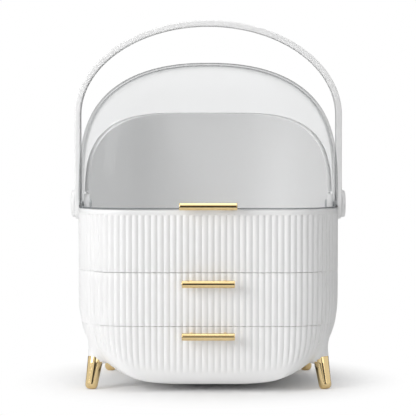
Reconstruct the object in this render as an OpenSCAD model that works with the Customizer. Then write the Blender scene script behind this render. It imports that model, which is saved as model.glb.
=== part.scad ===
/* [Body] */
// Width of the body over the rib crests
body_w = 276; // [264:1:290]
// Depth of the body over the rib crests
body_d = 200; // [194:1:216]
// Corner radius at the front, seen from above
front_corner_r = 58; // [52:1:64]
// Corner radius at the back, seen from above
rear_corner_r = 100; // [92:1:104]
// Thickness of the moulded walls
wall = 3; // [2.4:0.2:3.6]
// Wanted distance from one rib to the next
rib_pitch = 6.6; // [5.6:0.1:8]
// Depth of the grooves between the ribs
rib_depth = 1.2; // [0.6:0.1:1.6]

/* [Tiers] */
// Height of the body's lowest point above the floor
ground_gap = 7; // [5:0.5:12]
// Height of the lower drawer's tier
lower_tier_h = 62; // [58:1:72]
// Height of the upper drawer's tier
upper_tier_h = 56; // [48:1:70]
// Height of the open bin at the top, rim included
bin_h = 65; // [58:1:80]
// Height of the smooth band at the bin's rim
rim_h = 5; // [3:0.5:9]
// Height above the lowest point at which the flanks stop drawing in
belly_rise = 100; // [90:1:104]
// Fullness of the belly's outline, where 2 is an ellipse
belly_power = 2.95; // [2.6:0.05:3.4]
// Radius of the rounding under the front and back faces
belly_fillet = 15; // [10:1:15]
// Running gap around a drawer's front
seam_gap = 0.4; // [0.3:0.1:0.8]

/* [Cover and hood] */
// Height of the hinge axis above the rim
hinge_rise = 2; // [1:0.5:4]
// Height of the closed cover above the hinge axis
dome_h = 152.4; // [146:1:160]
// Wall of the clear cover
cover_wall = 2.5; // [2:0.1:3]
// Wall of the rear hood
hood_wall = 2.5; // [2:0.1:3]
// Height of the rear hood above the hinge axis
hood_h = 99.5; // [92:0.5:102]
// Width of the lap of the cover over the hood's edge
hood_lap = 5; // [3:0.5:8]
// Gap between the cover and the hood
hood_gap = 0.8; // [0.6:0.1:1.2]
// Gap between the closed cover and the rim
rim_gap = 0.6; // [0.4:0.1:1]

/* [Handle] */
// Height of the handle above the hinge axis
handle_h = 198.3; // [192:0.5:210]
// Height of the handle's arched part
handle_arch_h = 102.3; // [96:0.5:110]
// Thickness of the handle's strip
handle_t = 6; // [5:0.5:8]
// Width of the handle's strip, front to back
handle_w = 22; // [16:1:26]
// Radius of the handle's round ends
hub_r = 16.4; // [14:0.2:18]
// Radius of the caps on the handle's ends
cap_r = 14.5; // [12.5:0.5:16]
// Thickness of the caps
cap_t = 4.2; // [3:0.2:6]
// Radius of the pivot pins
pin_r = 3; // [2.4:0.1:3.6]

/* [Drawers] */
// Ribs across one drawer's front
front_ribs = 38; // [36:2:40]
// Room between the upper drawer's tray and the sides of its opening
upper_tray_room = 5.4; // [4.5:0.1:12]
// Room between the lower drawer's tray and the sides of its opening
lower_tray_room = 1.1; // [1:0.1:6]
// Room between the trays and the back of the body
tray_rear_room = 44; // [40:1:56]
// Wall of the trays
tray_wall = 2.2; // [1.8:0.1:3]

/* [Pulls] */
// Diameter of the pull bars
pull_d = 7.7; // [6:0.1:9]
// Length of the drawers' pull bars
drawer_pull_len = 55; // [45:1:80]
// Length of the cover's pull bar
cover_pull_len = 60; // [45:1:80]
// Gap between a pull bar and the face behind it
pull_gap = 6; // [4:0.5:10]

/* [Legs] */
// Length of the metal tip along the leg
tip_len = 34; // [28:1:40]
// Radius at the top of the tip
tip_top_r = 8.25; // [7.5:0.25:9]
// Radius at the foot of the tip
tip_foot_r = 6.75; // [6:0.25:7.5]
// Outward lean of the legs in degrees, to the side and to the front or back alike
leg_splay = 8.7; // [6:0.1:11]
// Distance of the front feet in from the body's widest line
front_foot_side = 15.2; // [14:0.4:21]
// Distance of the front feet behind the body's front
front_foot_in = 28; // [26:0.5:34]
// Distance of the rear feet in from the body's widest line
rear_foot_side = 27.8; // [26:0.3:33]
// Distance of the rear feet before the body's back
rear_foot_in = 26; // [23:0.5:30]

/* [Screws] */
// Radius of the screws' shanks
screw_r = 1.5; // [1.2:0.1:1.8]
// Radius of the screws' heads
screw_head_r = 3; // [2.6:0.1:3.4]
// Height of the screws' heads
screw_head_h = 2; // [1.6:0.1:2.6]

/* [Hidden] */
$fn = 48;
slack = 1;
beyond = 20;

half_w = body_w / 2;
half_d = body_d / 2;
lower_top = ground_gap + lower_tier_h;
upper_top = lower_top + upper_tier_h;
rim_z = upper_top + bin_h;
hinge_z = rim_z + hinge_rise;

front_flat = half_w - front_corner_r;
front_arc = front_corner_r * PI / 2;
side_len = body_d - front_corner_r - rear_corner_r;
rear_arc = rear_corner_r * PI / 2;
rear_flat = half_w - rear_corner_r;
half_girth = front_flat + front_arc + side_len + rear_arc + rear_flat;
half_ribs = round(half_girth / rib_pitch);
pitch = half_girth / half_ribs;
rib_profile = [[0, 0], [0.3, 1], [0.7, 1]];
split_s = front_ribs / 2 * pitch;

side_gap = 0.4;
handle_in = half_w + side_gap;
handle_out = handle_in + handle_t;
ear_in = half_w - wall;
ear_r = 12.5;
ear_room = 1.5;
fit = 0.05;
body_gap = 0.3;

cover_edge_z = rim_z + rim_gap;
hood_inset = cover_wall + hood_gap;
hood_drop = 14;
hood_foot_z = rim_z - hood_drop;
lap_line_h = hood_h - hood_lap / 2;
dome_side_power = 3.5;
dome_crown_power = 2.22;
dome_front_power = 3.2;
lap_power = 1.6;
lap_start = 2.5;

front_wall = 3.5;
post_r = 2.6;
post_in = 10;
rail_t = 3;
rail_h = 8;
screw_len = 12;
boss_r = 5;
lug_r = 8.4;
front_screw_len = 6;
pocket_side = 14;
pocket_foot = 4;
pocket_head = 1.5;

// One place on the plan's right half, found by the distance s along it from the front centre,
// with the outward normal; a negative s gives the left half
function plan_frame(s) =
    let (
        a = abs(s),
        m = s < 0 ? -1 : 1,
        past_flat = a - front_flat,
        past_corner = past_flat - front_arc,
        past_side = past_corner - side_len,
        past_rear = past_side - rear_arc,
        q = past_flat / front_corner_r * 180 / PI,
        t = past_side / rear_corner_r * 180 / PI
    )
    past_flat <= 0 ? [m * a, -half_d, 0, -1]
    : past_corner <= 0 ? [
        m * (front_flat + front_corner_r * sin(q)),
        -half_d + front_corner_r * (1 - cos(q)),
        m * sin(q), -cos(q)]
    : past_side <= 0 ? [m * half_w, -half_d + front_corner_r + past_corner, m, 0]
    : past_rear <= 0 ? [
        m * (half_w - rear_corner_r * (1 - cos(t))),
        half_d - rear_corner_r * (1 - sin(t)),
        m * cos(t), sin(t)]
    : [m * max(0, rear_flat - past_rear), half_d, 0, 1];

function plan_point(s, inset = 0) =
    let (w = s > half_girth ? s - 2 * half_girth : s, f = plan_frame(w))
    [f[0] - inset * f[2], f[1] - inset * f[3]];

split_y = plan_point(split_s, rib_depth)[1];

// Ribbed outline from rib first to rib last; fade 0 leaves it smooth at the grooves' depth
function ribbed(first, last, fade = 1) = concat(
    [for (k = [first:last - 1]) for (p = rib_profile)
        plan_point((k + p[0]) * pitch, rib_depth * (1 - p[1] * fade))],
    [plan_point(last * pitch, rib_depth)]
);

// Smooth outline, drawn in by inset and then scaled along each axis
corner_steps = 8;
side_s = front_flat + front_arc;
rear_s = side_s + side_len;
plan_stops = concat(
    [for (i = [0:3]) front_flat * i / 4],
    [for (i = [0:corner_steps]) front_flat + front_arc * i / corner_steps],
    [side_s + side_len / 2],
    [for (i = [0:corner_steps]) rear_s + rear_arc * i / corner_steps],
    [half_girth - rear_flat / 2]
);
function smooth(inset = 0, kx = 1, ky = 1) =
    let (last = len(plan_stops) - 1)
    [for (p = concat(
        [for (i = [last:-1:1]) plan_point(-plan_stops[i], inset)],
        [for (s = plan_stops) plan_point(s, inset)],
        [plan_point(half_girth, inset)]))
        [p[0] * kx, p[1] * ky]];

// Rounding law: 1 at the middle, 0 at the edge; a second power gives the middle its own fullness
function round_off(u, power, second = 0) =
    pow(max(0, 1 - pow(min(1, abs(u)), power)), 1 / (second > 0 ? second : power));

// Half width of the body's front outline at height z
belly_top = ground_gap + belly_rise;
function belly_half(z) =
    z >= belly_top ? half_w : half_w * round_off((belly_top - z) / belly_rise, belly_power);

function fillet_drop(z) =
    let (u = belly_fillet - (z - ground_gap))
    u <= 0 ? 0 : belly_fillet - sqrt(max(0, belly_fillet * belly_fillet - u * u));

// Draws a plan point in to the belly's width at height z; the middle stays where it is
squeeze = 5;
least_pull = 0.002;
function belly_point(p, z) =
    let (
        wanted = pow(abs(p[0]) / half_w, squeeze) * (pow(half_w / belly_half(z), squeeze) - 1),
        pull = wanted < least_pull ? 0 : wanted,
        reach = half_d - fillet_drop(z)
    )
    [p[0] / pow(1 + pull, 1 / squeeze), max(-reach, min(reach, p[1])), z];

belly_rows = 9;
bottom_skin = 0.2;
rib_fade_z = ground_gap + 11;
rib_fade_h = 14;
function row_z(i, top) =
    i == 0 ? ground_gap + bottom_skin : ground_gap + (top - ground_gap) * (1 - cos(90 * i / belly_rows));
function rib_fade(z) = max(0, min(1, (z - rib_fade_z) / rib_fade_h));

// Closed solid through equal rings of points, each seen counter-clockwise from above
module ringed_solid(rings) {
    n = len(rings[0]);
    m = len(rings);
    polyhedron(
        points = [for (r = rings) for (p = r) p],
        faces = concat(
            [[for (i = [0:n - 1]) i]],
            [[for (i = [n - 1:-1:0]) (m - 1) * n + i]],
            [for (j = [0:m - 2]) for (i = [0:n - 1])
                let (k = (i + 1) % n) [j * n + i, (j + 1) * n + i, (j + 1) * n + k]],
            [for (j = [0:m - 2]) for (i = [0:n - 1])
                let (k = (i + 1) % n) [j * n + i, (j + 1) * n + k, j * n + k]]
        ),
        convexity = 6
    );
}

module along_x(x0, x1, y, z, r0, r1 = undef) {
    translate([x0, y, z]) rotate([0, 90, 0]) cylinder(h = x1 - x0, r1 = r0, r2 = r1 == undef ? r0 : r1);
}

module along_y(x, y0, y1, z, r) {
    translate([x, y1, z]) rotate([90, 0, 0]) cylinder(h = y1 - y0, r = r);
}

module box(x, y, z) {
    translate([x[0], y[0], z[0]]) cube([x[1] - x[0], y[1] - y[0], z[1] - z[0]]);
}

module both_sides() {
    for (m = [0, 1]) mirror([m, 0, 0]) children();
}

// Centres of the screws between the tiers and under the hood, on the right half
tier_side_in = 22.5;
bin_side_in = 15.5;
side_post_y = 20;
tier_ring_in = 15.3;
bin_ring_in = 13.9;
hood_ring_in = 13;
function on_ring(inset, angle) = let (r = rear_corner_r - inset)
    [rear_flat + r * cos(angle), half_d - rear_corner_r + r * sin(angle)];
tier_posts = [[half_w - tier_side_in, side_post_y], on_ring(tier_ring_in, 53.4)];
bin_posts = [[half_w - bin_side_in, -side_post_y], on_ring(bin_ring_in, 62)];
hood_posts = [for (a = [25, 76.5]) on_ring(hood_ring_in, a)];

module at_posts(posts, z) {
    both_sides() for (p = posts) translate([p[0], p[1], z]) children();
}

module screw(length = screw_len) {
    translate([0, 0, -length]) cylinder(h = length, r = screw_r);
    cylinder(h = screw_head_h, r = screw_head_r);
}

// Legs: the local Z axis runs up the leg from the centre of its rounded foot
foot_flat = 0.3;
front_foot = [half_w - front_foot_side, -half_d + front_foot_in];
rear_foot = [half_w - rear_foot_side, half_d - rear_foot_in];
feet = [for (p = [front_foot, rear_foot]) for (m = [-1, 1]) [m, p[0], p[1]]];
stud_r = 2.5;
stud_half = 12;
tip_joint = tip_len - tip_foot_r;
sleeve_len = 30;
sleeve_grow = 2.6;

module at_foot(foot) {
    translate([foot[0] * foot[1], foot[2], tip_foot_r - foot_flat])
        rotate([sign(foot[2]) * leg_splay, -foot[0] * leg_splay, 0])
            children();
}

module leg_tip(foot) {
    arc = [for (i = [0:8]) let (q = -90 + 90 * i / 8) [tip_foot_r * cos(q), tip_foot_r * sin(q)]];
    color("goldenrod") difference() {
        at_foot(foot) difference() {
            rotate_extrude() polygon(concat(arc, [[tip_top_r, tip_joint], [0, tip_joint]]));
            translate([0, 0, tip_joint - stud_half - slack])
                cylinder(h = stud_half + 2 * slack, r = stud_r + fit);
        }
        translate([foot[0] * foot[1], foot[2], -tip_len]) cylinder(h = tip_len, r = tip_len);
    }
}

module leg_tip_front_left() { leg_tip(feet[0]); }
module leg_tip_front_right() { leg_tip(feet[1]); }
module leg_tip_rear_left() { leg_tip(feet[2]); }
module leg_tip_rear_right() { leg_tip(feet[3]); }

module leg_studs() {
    color("silver") for (foot = feet)
        at_foot(foot) translate([0, 0, tip_joint - stud_half]) cylinder(h = 2 * stud_half, r = stud_r);
}

// Lower tier: the belly, with the bay for the lower drawer in three steps and the leg sockets
step_heights = [10, 21, 37];
step_floors = [for (h = step_heights) ground_gap + h];
tray_step = step_floors[1];
function bay_shrink(z_low) = (belly_half(z_low - wall) - wall) / (half_w - wall);

// Half width of an opening in the front, where a wall of thickness t stands at its sides
function mouth_half(t) = let (r = front_corner_r - t, d = front_corner_r - half_d - split_y)
    front_flat + sqrt(r * r - d * d);
upper_floor_z = lower_top + wall;
upper_wall = wall + rib_depth;
upper_shrink = (belly_half(upper_floor_z) - upper_wall) / (half_w - upper_wall);
upper_tray_w = 2 * (mouth_half(upper_wall) * upper_shrink - upper_tray_room);
lower_tray_w = 2 * (mouth_half(wall) * bay_shrink(tray_step) - lower_tray_room);
tray_rear = half_d - tray_rear_room;

module bay_step(z_low, z_high) {
    shrink = bay_shrink(z_low);
    deep = (half_d - fillet_drop(z_low - wall) - wall) / (half_d - wall);
    translate([0, 0, z_low]) linear_extrude(z_high - z_low) polygon(smooth(wall, shrink, deep));
}

module lower_casing() {
    total = 2 * half_ribs;
    rings = [for (i = [0:belly_rows]) let (z = row_z(i, lower_top))
        [for (p = ribbed(front_ribs / 2, total - front_ribs / 2, rib_fade(z)))
            let (q = belly_point(p, z)) [q[0], max(split_y, q[1]), z]]];
    color("white") difference() {
        union() {
            difference() {
                union() {
                    ringed_solid(rings);
                    for (foot = feet) at_foot(foot) translate([0, 0, tip_joint])
                        cylinder(h = sleeve_len, r1 = tip_top_r + 2 * fit, r2 = tip_top_r + sleeve_grow);
                }
                bay_step(step_floors[0], step_floors[1] + slack);
                bay_step(step_floors[1], step_floors[2] + slack);
                bay_step(step_floors[2], lower_top + slack);
            }
            both_sides() box(
                [lower_tray_w / 2 + seam_gap, lower_tray_w / 2 + seam_gap + rail_t],
                [split_y + slack, tray_rear],
                [tray_step - slack, tray_step + rail_h]);
            at_posts(tier_posts, step_floors[2] - slack)
                cylinder(h = lower_top - step_floors[2] + slack, r = boss_r);
        }
        at_posts(tier_posts, lower_top - screw_len) cylinder(h = screw_len + slack, r = screw_r + fit);
        for (foot = feet) at_foot(foot) {
            translate([0, 0, tip_joint - slack]) cylinder(h = stud_half + 2 * slack, r = stud_r + fit);
            cylinder(h = tip_joint, r1 = tip_foot_r + body_gap, r2 = tip_top_r + body_gap);
        }
    }
}

// Upper tier: ribbed wall round the upper drawer, with the floor that closes the lower tier;
// its foot still draws in with the belly
upper_rows = 3;
function upper_row_z(low, high) = concat(
    [for (i = [0:upper_rows]) low + (belly_top - low) * i / upper_rows],
    [high]);

module upper_casing() {
    outline = ribbed(front_ribs / 2, 2 * half_ribs - front_ribs / 2);
    color("white") difference() {
        union() {
            difference() {
                ringed_solid([for (z = upper_row_z(lower_top, upper_top + slack))
                    [for (p = outline) let (q = belly_point(p, z)) [q[0], max(split_y, q[1]), z]]]);
                // The top is cut off flat, so that it stays one plane face
                box([-half_w - slack, half_w + slack], [-half_d - slack, half_d + slack],
                    [upper_top, upper_top + 2 * slack]);
                translate([0, 0, upper_floor_z]) linear_extrude(upper_tier_h)
                    polygon(smooth(upper_wall, upper_shrink));
            }
            both_sides() box(
                [upper_tray_w / 2 + seam_gap, upper_tray_w / 2 + seam_gap + rail_t],
                [split_y + slack, tray_rear],
                [upper_floor_z - slack, upper_floor_z + rail_h]);
            at_posts(bin_posts, upper_floor_z - slack)
                cylinder(h = upper_top - upper_floor_z + slack, r = boss_r);
        }
        at_posts(bin_posts, upper_top - screw_len) cylinder(h = screw_len + slack, r = screw_r + fit);
        at_posts(tier_posts, lower_top - slack) cylinder(h = wall + 2 * slack, r = screw_r + 2 * fit);
    }
}

module tier_screws() {
    color("silver") at_posts(tier_posts, upper_floor_z) screw();
}

// Top bin: ribbed wall, smooth rim, posts for the hood and the two inner hinge ears
bin_floor_z = upper_top + wall;
ear_t = 6;
ear_drop = 24;
ear_foot_z = rim_z - ear_drop;
hinge_ear_out = ear_in - body_gap;
hinge_ear_r = ear_r - ear_room;

module top_bin() {
    color("white") difference() {
        union() {
            difference() {
                union() {
                    translate([0, 0, upper_top]) linear_extrude(bin_h - rim_h)
                        polygon([for (i = [0:6 * half_ribs - 1])
                            let (k = floor(i / 3), p = rib_profile[i % 3])
                            plan_point((k - half_ribs + p[0]) * pitch, rib_depth * (1 - p[1]))]);
                    translate([0, 0, rim_z - rim_h]) linear_extrude(rim_h) polygon(smooth());
                }
                translate([0, 0, bin_floor_z]) linear_extrude(bin_h) polygon(smooth(wall));
                both_sides() along_x(hinge_ear_out, half_w + slack, 0, hinge_z, ear_r + ear_room);
            }
            both_sides() {
                along_x(hinge_ear_out - ear_t, hinge_ear_out, 0, hinge_z, hinge_ear_r);
                box([hinge_ear_out - ear_t, ear_in + slack], [-hinge_ear_r, hinge_ear_r],
                    [ear_foot_z, hinge_z - ear_r - ear_room - body_gap]);
                box([hinge_ear_out - ear_t, hinge_ear_out], [-hinge_ear_r, hinge_ear_r],
                    [ear_foot_z, hinge_z]);
            }
            at_posts(hood_posts, bin_floor_z - slack)
                cylinder(h = hood_foot_z - bin_floor_z + slack, r = boss_r);
        }
        both_sides() along_x(hinge_ear_out - ear_t - slack, half_w, 0, hinge_z, pin_r + fit);
        at_posts(hood_posts, hood_foot_z - screw_len) cylinder(h = screw_len + slack, r = screw_r + fit);
        at_posts(bin_posts, upper_top - slack) cylinder(h = wall + 2 * slack, r = screw_r + 2 * fit);
    }
}

module bin_screws() {
    color("silver") at_posts(bin_posts, bin_floor_z) screw();
}

// Domed shape over the plan, drawn in by inset, from height low to its crest above the hinge axis;
// a thin shell cut from two of them is kept as one mesh by a resize that changes nothing
dome_rows = 13;
dome_foot = -6;
module dome(inset, low) {
    top = dome_h - inset;
    heights = concat([low], [for (i = [0:dome_rows]) top * sin(89 * i / dome_rows)]);
    ringed_solid([for (h = heights)
        let (
            u = max(0, h / top),
            kx = round_off(u, dome_side_power, dome_crown_power),
            ky = round_off(u, dome_front_power)
        )
        [for (p = smooth(inset, kx, ky)) [p[0], p[1], hinge_z + h]]]);
}

// Line in the side view where the cover ends and the hood shows, above the hinge axis
lap_rear_in = 9;
lap_depth = half_d - lap_rear_in;
lap_steps = 12;
function lap_line(up, forward) = [for (i = [0:lap_steps])
    let (u = 1 - pow(i / lap_steps, 2), y = lap_depth * (1 - u))
    [lap_start + y - forward, hinge_z + up + lap_line_h * round_off(u, lap_power)]];

module side_view_prism(points) {
    rotate([90, 0, 90]) linear_extrude(body_w + beyond, center = true) polygon(points);
}

cover_ear_in = 0.9;

module clear_cover() {
    far = half_d + beyond;
    top = hinge_z + dome_h + beyond;
    region = concat(
        [[-far, cover_edge_z], [lap_start, cover_edge_z]],
        lap_line(-hood_lap / 2, 0),
        [[far, hinge_z + lap_line_h - hood_lap / 2], [far, top], [-far, top]]);
    color("lightcyan", 0.4) difference() {
        union() {
            resize([0, 0, 0]) intersection() {
                difference() {
                    dome(0, dome_foot);
                    dome(cover_wall, dome_foot - slack);
                }
                side_view_prism(region);
            }
            both_sides() along_x(half_w - cover_wall - side_gap, half_w - cover_ear_in, 0, hinge_z, ear_r);
        }
        both_sides() along_x(half_w - wall - slack, half_w + slack, 0, hinge_z, pin_r + fit);
        for (x = [-1, 1] * (cover_pull_len / 2 - post_in))
            along_y(x, -half_d - slack, -half_d + cover_wall + slack, cover_pull_z, screw_r + fit);
    }
}

module rear_hood() {
    far = half_d + beyond;
    region = concat(
        [[ear_r + slack, hood_foot_z], [ear_r + slack, hinge_z + ear_r]],
        [[lap_start - hood_lap / 2, hinge_z + ear_r]],
        [for (p = lap_line(hood_lap / 2, hood_lap / 2)) if (p[1] > hinge_z + ear_r + slack) p],
        [[far, hinge_z + lap_line_h + hood_lap / 2], [far, hood_foot_z]]);
    color("white") difference() {
        union() {
            resize([0, 0, 0]) intersection() {
                difference() {
                    dome(hood_inset, hood_foot_z - hinge_z - slack);
                    dome(hood_inset + hood_wall, hood_foot_z - hinge_z - 2 * slack);
                }
                side_view_prism(region);
            }
            at_posts(hood_posts, hood_foot_z) cylinder(h = wall, r = lug_r);
        }
        at_posts(hood_posts, hood_foot_z - slack) cylinder(h = wall + 2 * slack, r = screw_r + 2 * fit);
    }
}

module hood_screws() {
    color("silver") at_posts(hood_posts, hood_foot_z + wall) screw();
}

// Pull bar with two posts, and the screws that hold it from behind a wall of the given thickness
cover_pull_rise = 2;
upper_pull_drop = 11.2;
lower_pull_drop = 9.7;
cover_pull_z = hinge_z + cover_pull_rise;
upper_pull_z = upper_top - upper_pull_drop;
lower_pull_z = lower_top - lower_pull_drop;

module pull_bar(length, z) {
    bar_y = -half_d - pull_gap - pull_d / 2;
    color("goldenrod") difference() {
        union() {
            along_x(-length / 2, length / 2, bar_y, z, pull_d / 2);
            for (x = [-1, 1] * (length / 2 - post_in)) along_y(x, bar_y, -half_d, z, post_r);
        }
        for (x = [-1, 1] * (length / 2 - post_in))
            along_y(x, -half_d - pull_gap, -half_d + slack, z, screw_r + fit);
    }
}

module pull_screws(length, z, thickness) {
    color("silver") for (x = [-1, 1] * (length / 2 - post_in)) {
        along_y(x, -half_d - pull_gap + slack, -half_d + thickness, z, screw_r);
        along_y(x, -half_d + thickness, -half_d + thickness + screw_head_h, z, screw_head_r);
    }
}

module cover_pull() { pull_bar(cover_pull_len, cover_pull_z); }
module cover_pull_screws() { pull_screws(cover_pull_len, cover_pull_z, cover_wall); }
module upper_drawer_pull() { pull_bar(drawer_pull_len, upper_pull_z); }
module upper_pull_screws() { pull_screws(drawer_pull_len, upper_pull_z, front_wall); }
module lower_drawer_pull() { pull_bar(drawer_pull_len, lower_pull_z); }
module lower_pull_screws() { pull_screws(drawer_pull_len, lower_pull_z, front_wall); }

// Handle, its caps and the pins that it and the cover turn on
arch_steps = 40;
function arch(half, height, base) = [for (i = [0:arch_steps])
    let (q = 180 * i / arch_steps) [half * cos(q), base + height * sin(q)]];

module carry_handle() {
    base = hinge_z + handle_h - handle_arch_h;
    outer = concat(
        [[handle_out, hinge_z]],
        arch(handle_out, handle_arch_h, base),
        [[-handle_out, hinge_z]]);
    inner = concat([[-handle_in, hinge_z]],
        [for (i = [arch_steps:-1:0]) arch(handle_in, handle_arch_h - handle_t, base)[i]],
        [[handle_in, hinge_z]]);
    color("white") difference() {
        union() {
            rotate([90, 0, 0]) linear_extrude(handle_w, center = true) polygon(concat(outer, inner));
            both_sides() along_x(handle_in, handle_out, 0, hinge_z, hub_r);
        }
        both_sides() {
            along_x(handle_in - slack, handle_out + slack, 0, hinge_z, pin_r + fit);
            along_x(handle_out - cap_spigot, handle_out + slack, 0, hinge_z, cap_spigot_r + fit);
        }
    }
}

cap_spigot = 2.6;
cap_spigot_r = 8;

module hub_cap() {
    bevel = 1.2;
    difference() {
        union() {
            along_x(handle_out - cap_spigot + 2 * fit, handle_out + slack, 0, hinge_z, cap_spigot_r);
            along_x(handle_out, handle_out + cap_t - bevel, 0, hinge_z, cap_r);
            along_x(handle_out + cap_t - bevel, handle_out + cap_t, 0, hinge_z, cap_r, cap_r - bevel);
        }
        along_x(handle_out - cap_spigot, handle_out + 2 * body_gap, 0, hinge_z, pin_r + 2 * fit);
    }
}

module hub_cap_right() { color("white") hub_cap(); }
module hub_cap_left() { color("white") mirror([1, 0, 0]) hub_cap(); }

pin_head_r = pin_r + 2;

module pivot_pin() {
    ear_back = hinge_ear_out - ear_t;
    along_x(ear_back - screw_head_h, ear_back, 0, hinge_z, pin_head_r);
    along_x(ear_back, handle_out, 0, hinge_z, pin_r);
}

module pivot_pin_right() { color("silver") pivot_pin(); }
module pivot_pin_left() { color("silver") mirror([1, 0, 0]) pivot_pin(); }

// Drawers: a ribbed front with a pocket behind it, and a tray screwed to it
front_back_y = split_y - seam_gap;
tray_front_y = front_back_y;
front_screw_in = 6;

module front_pocket(tray_w, tray_z) {
    difference() {
        children();
        box([-tray_w / 2 + pocket_side, tray_w / 2 - pocket_side], [-half_d + front_wall, split_y + slack],
            [tray_z[0] + pocket_foot, tray_z[1] - pocket_head]);
    }
}

module front_holes(tray_w, screw_z, pull_z) {
    difference() {
        children();
        for (x = [-1, 1] * (drawer_pull_len / 2 - post_in))
            along_y(x, -half_d - slack, -half_d + front_wall + slack, pull_z, screw_r + fit);
        for (x = [-1, 1] * (tray_w / 2 - front_screw_in))
            along_y(x, front_back_y - front_screw_len - slack, front_back_y + slack, screw_z,
                screw_r + fit);
    }
}

function front_ring(z) = [for (p = ribbed(-front_ribs / 2, front_ribs / 2, rib_fade(z)))
    [p[0], min(front_back_y, p[1])]];

tray_headroom = 4;
upper_tray_z = [upper_floor_z + body_gap, upper_top - tray_headroom];
lower_tray_z = [tray_step + body_gap, lower_top - tray_headroom];
function screw_line(z) = (z[0] + z[1]) / 2;

module upper_drawer_front() {
    color("white") front_holes(upper_tray_w, screw_line(upper_tray_z), upper_pull_z)
        front_pocket(upper_tray_w, upper_tray_z)
            resize([0, 0, 0]) ringed_solid([for (z = upper_row_z(lower_top + seam_gap, upper_top - seam_gap))
                [for (p = front_ring(z)) belly_point(p, z)]]);
}

module lower_drawer_front() {
    top = lower_top - seam_gap;
    color("white") front_holes(lower_tray_w, screw_line(lower_tray_z), lower_pull_z)
        front_pocket(lower_tray_w, lower_tray_z)
            resize([0, 0, 0]) ringed_solid([for (i = [0:belly_rows]) let (z = row_z(i, top))
                [for (p = front_ring(z)) belly_point(p, z)]]);
}

module tray(width, z) {
    inner = width / 2 - tray_wall;
    difference() {
        box([-width / 2, width / 2], [tray_front_y, tray_rear], z);
        box([-inner, inner], [tray_front_y + tray_wall, tray_rear - tray_wall],
            [z[0] + tray_wall, z[1] + slack]);
        for (x = [-1, 1] * (width / 2 - front_screw_in))
            along_y(x, tray_front_y - slack, tray_front_y + tray_wall + slack, screw_line(z),
                screw_r + 2 * fit);
    }
}

module front_screws(width, z) {
    inside = tray_front_y + tray_wall;
    for (x = [-1, 1] * (width / 2 - front_screw_in)) {
        along_y(x, tray_front_y - front_screw_len, inside, screw_line(z), screw_r);
        along_y(x, inside, inside + screw_head_h, screw_line(z), screw_head_r);
    }
}

module upper_drawer_tray() { color("white") tray(upper_tray_w, upper_tray_z); }
module lower_drawer_tray() { color("white") tray(lower_tray_w, lower_tray_z); }
module upper_front_screws() { color("silver") front_screws(upper_tray_w, upper_tray_z); }
module lower_front_screws() { color("silver") front_screws(lower_tray_w, lower_tray_z); }

lower_casing();
upper_casing();
top_bin();
rear_hood();
clear_cover();
cover_pull();
cover_pull_screws();
carry_handle();
hub_cap_left();
hub_cap_right();
pivot_pin_left();
pivot_pin_right();
upper_drawer_front();
upper_drawer_tray();
upper_drawer_pull();
upper_pull_screws();
upper_front_screws();
lower_drawer_front();
lower_drawer_tray();
lower_drawer_pull();
lower_pull_screws();
lower_front_screws();
leg_tip_front_left();
leg_tip_front_right();
leg_tip_rear_left();
leg_tip_rear_right();
leg_studs();
tier_screws();
bin_screws();
hood_screws();
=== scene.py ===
import math

import bmesh
import bpy
import numpy as np
from mathutils import Euler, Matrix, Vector


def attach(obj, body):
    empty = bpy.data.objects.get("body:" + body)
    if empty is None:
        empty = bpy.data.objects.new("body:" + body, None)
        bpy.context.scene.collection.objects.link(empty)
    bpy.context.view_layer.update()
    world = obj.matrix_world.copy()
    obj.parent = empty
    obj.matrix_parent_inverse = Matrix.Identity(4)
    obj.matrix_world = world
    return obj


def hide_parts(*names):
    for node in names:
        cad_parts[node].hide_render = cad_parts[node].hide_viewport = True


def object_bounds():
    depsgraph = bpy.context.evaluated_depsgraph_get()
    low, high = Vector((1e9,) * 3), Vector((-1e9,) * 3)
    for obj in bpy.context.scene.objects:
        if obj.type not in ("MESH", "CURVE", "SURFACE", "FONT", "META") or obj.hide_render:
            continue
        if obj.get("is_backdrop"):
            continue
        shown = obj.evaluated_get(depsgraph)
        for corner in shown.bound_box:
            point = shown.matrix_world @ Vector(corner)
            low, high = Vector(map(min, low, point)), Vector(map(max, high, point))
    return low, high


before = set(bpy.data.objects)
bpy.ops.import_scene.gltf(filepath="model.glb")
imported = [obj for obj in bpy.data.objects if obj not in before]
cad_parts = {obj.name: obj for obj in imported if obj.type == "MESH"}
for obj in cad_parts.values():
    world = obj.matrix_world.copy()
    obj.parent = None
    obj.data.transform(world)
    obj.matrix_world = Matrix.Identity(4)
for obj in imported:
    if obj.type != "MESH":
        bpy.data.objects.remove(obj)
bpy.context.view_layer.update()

MM = 0.001

# Sizes in millimetres, as in the part's source
HALF_W, HALF_D = 138.0, 100.0
R_FRONT, R_REAR = 58.0, 100.0
WALL, REED_DEPTH = 3.0, 1.2
GROUND, LOWER_TOP, UPPER_TOP, RIM_Z, HINGE_Z = 7.0, 69.0, 125.0, 190.0, 192.0
SEAM = 0.4
BELLY_RISE, BELLY_POWER, BELLY_FILLET, SQUEEZE = 100.0, 2.95, 15.0, 5
BAY_STEPS = [(44.0, LOWER_TOP), (28.0, 44.0), (17.0, 28.0)]
DOME_H, COVER_WALL, HOOD_WALL, HOOD_GAP = 152.4, 2.5, 2.5, 0.8
HOOD_H, HOOD_LAP, LAP_START, LAP_POWER = 99.5, 5.0, 2.5, 1.6
DOME_SIDE, DOME_CROWN, DOME_FRONT = 3.5, 2.22, 3.2
HANDLE_IN, HANDLE_T, HANDLE_H, ARCH_H, HANDLE_W = 138.4, 6.0, 198.3, 102.3, 22.0
HANDLE_EDGE, HUB_FLARE, FLARE_H = 1.1, 5.2, 42
HUB_R, CAP_R, CAP_T, PIN_BORE_R, CAP_BORE_R, CAP_BORE_DEPTH = 16.4, 14.5, 4.2, 3.05, 8.05, 2.6
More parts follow.
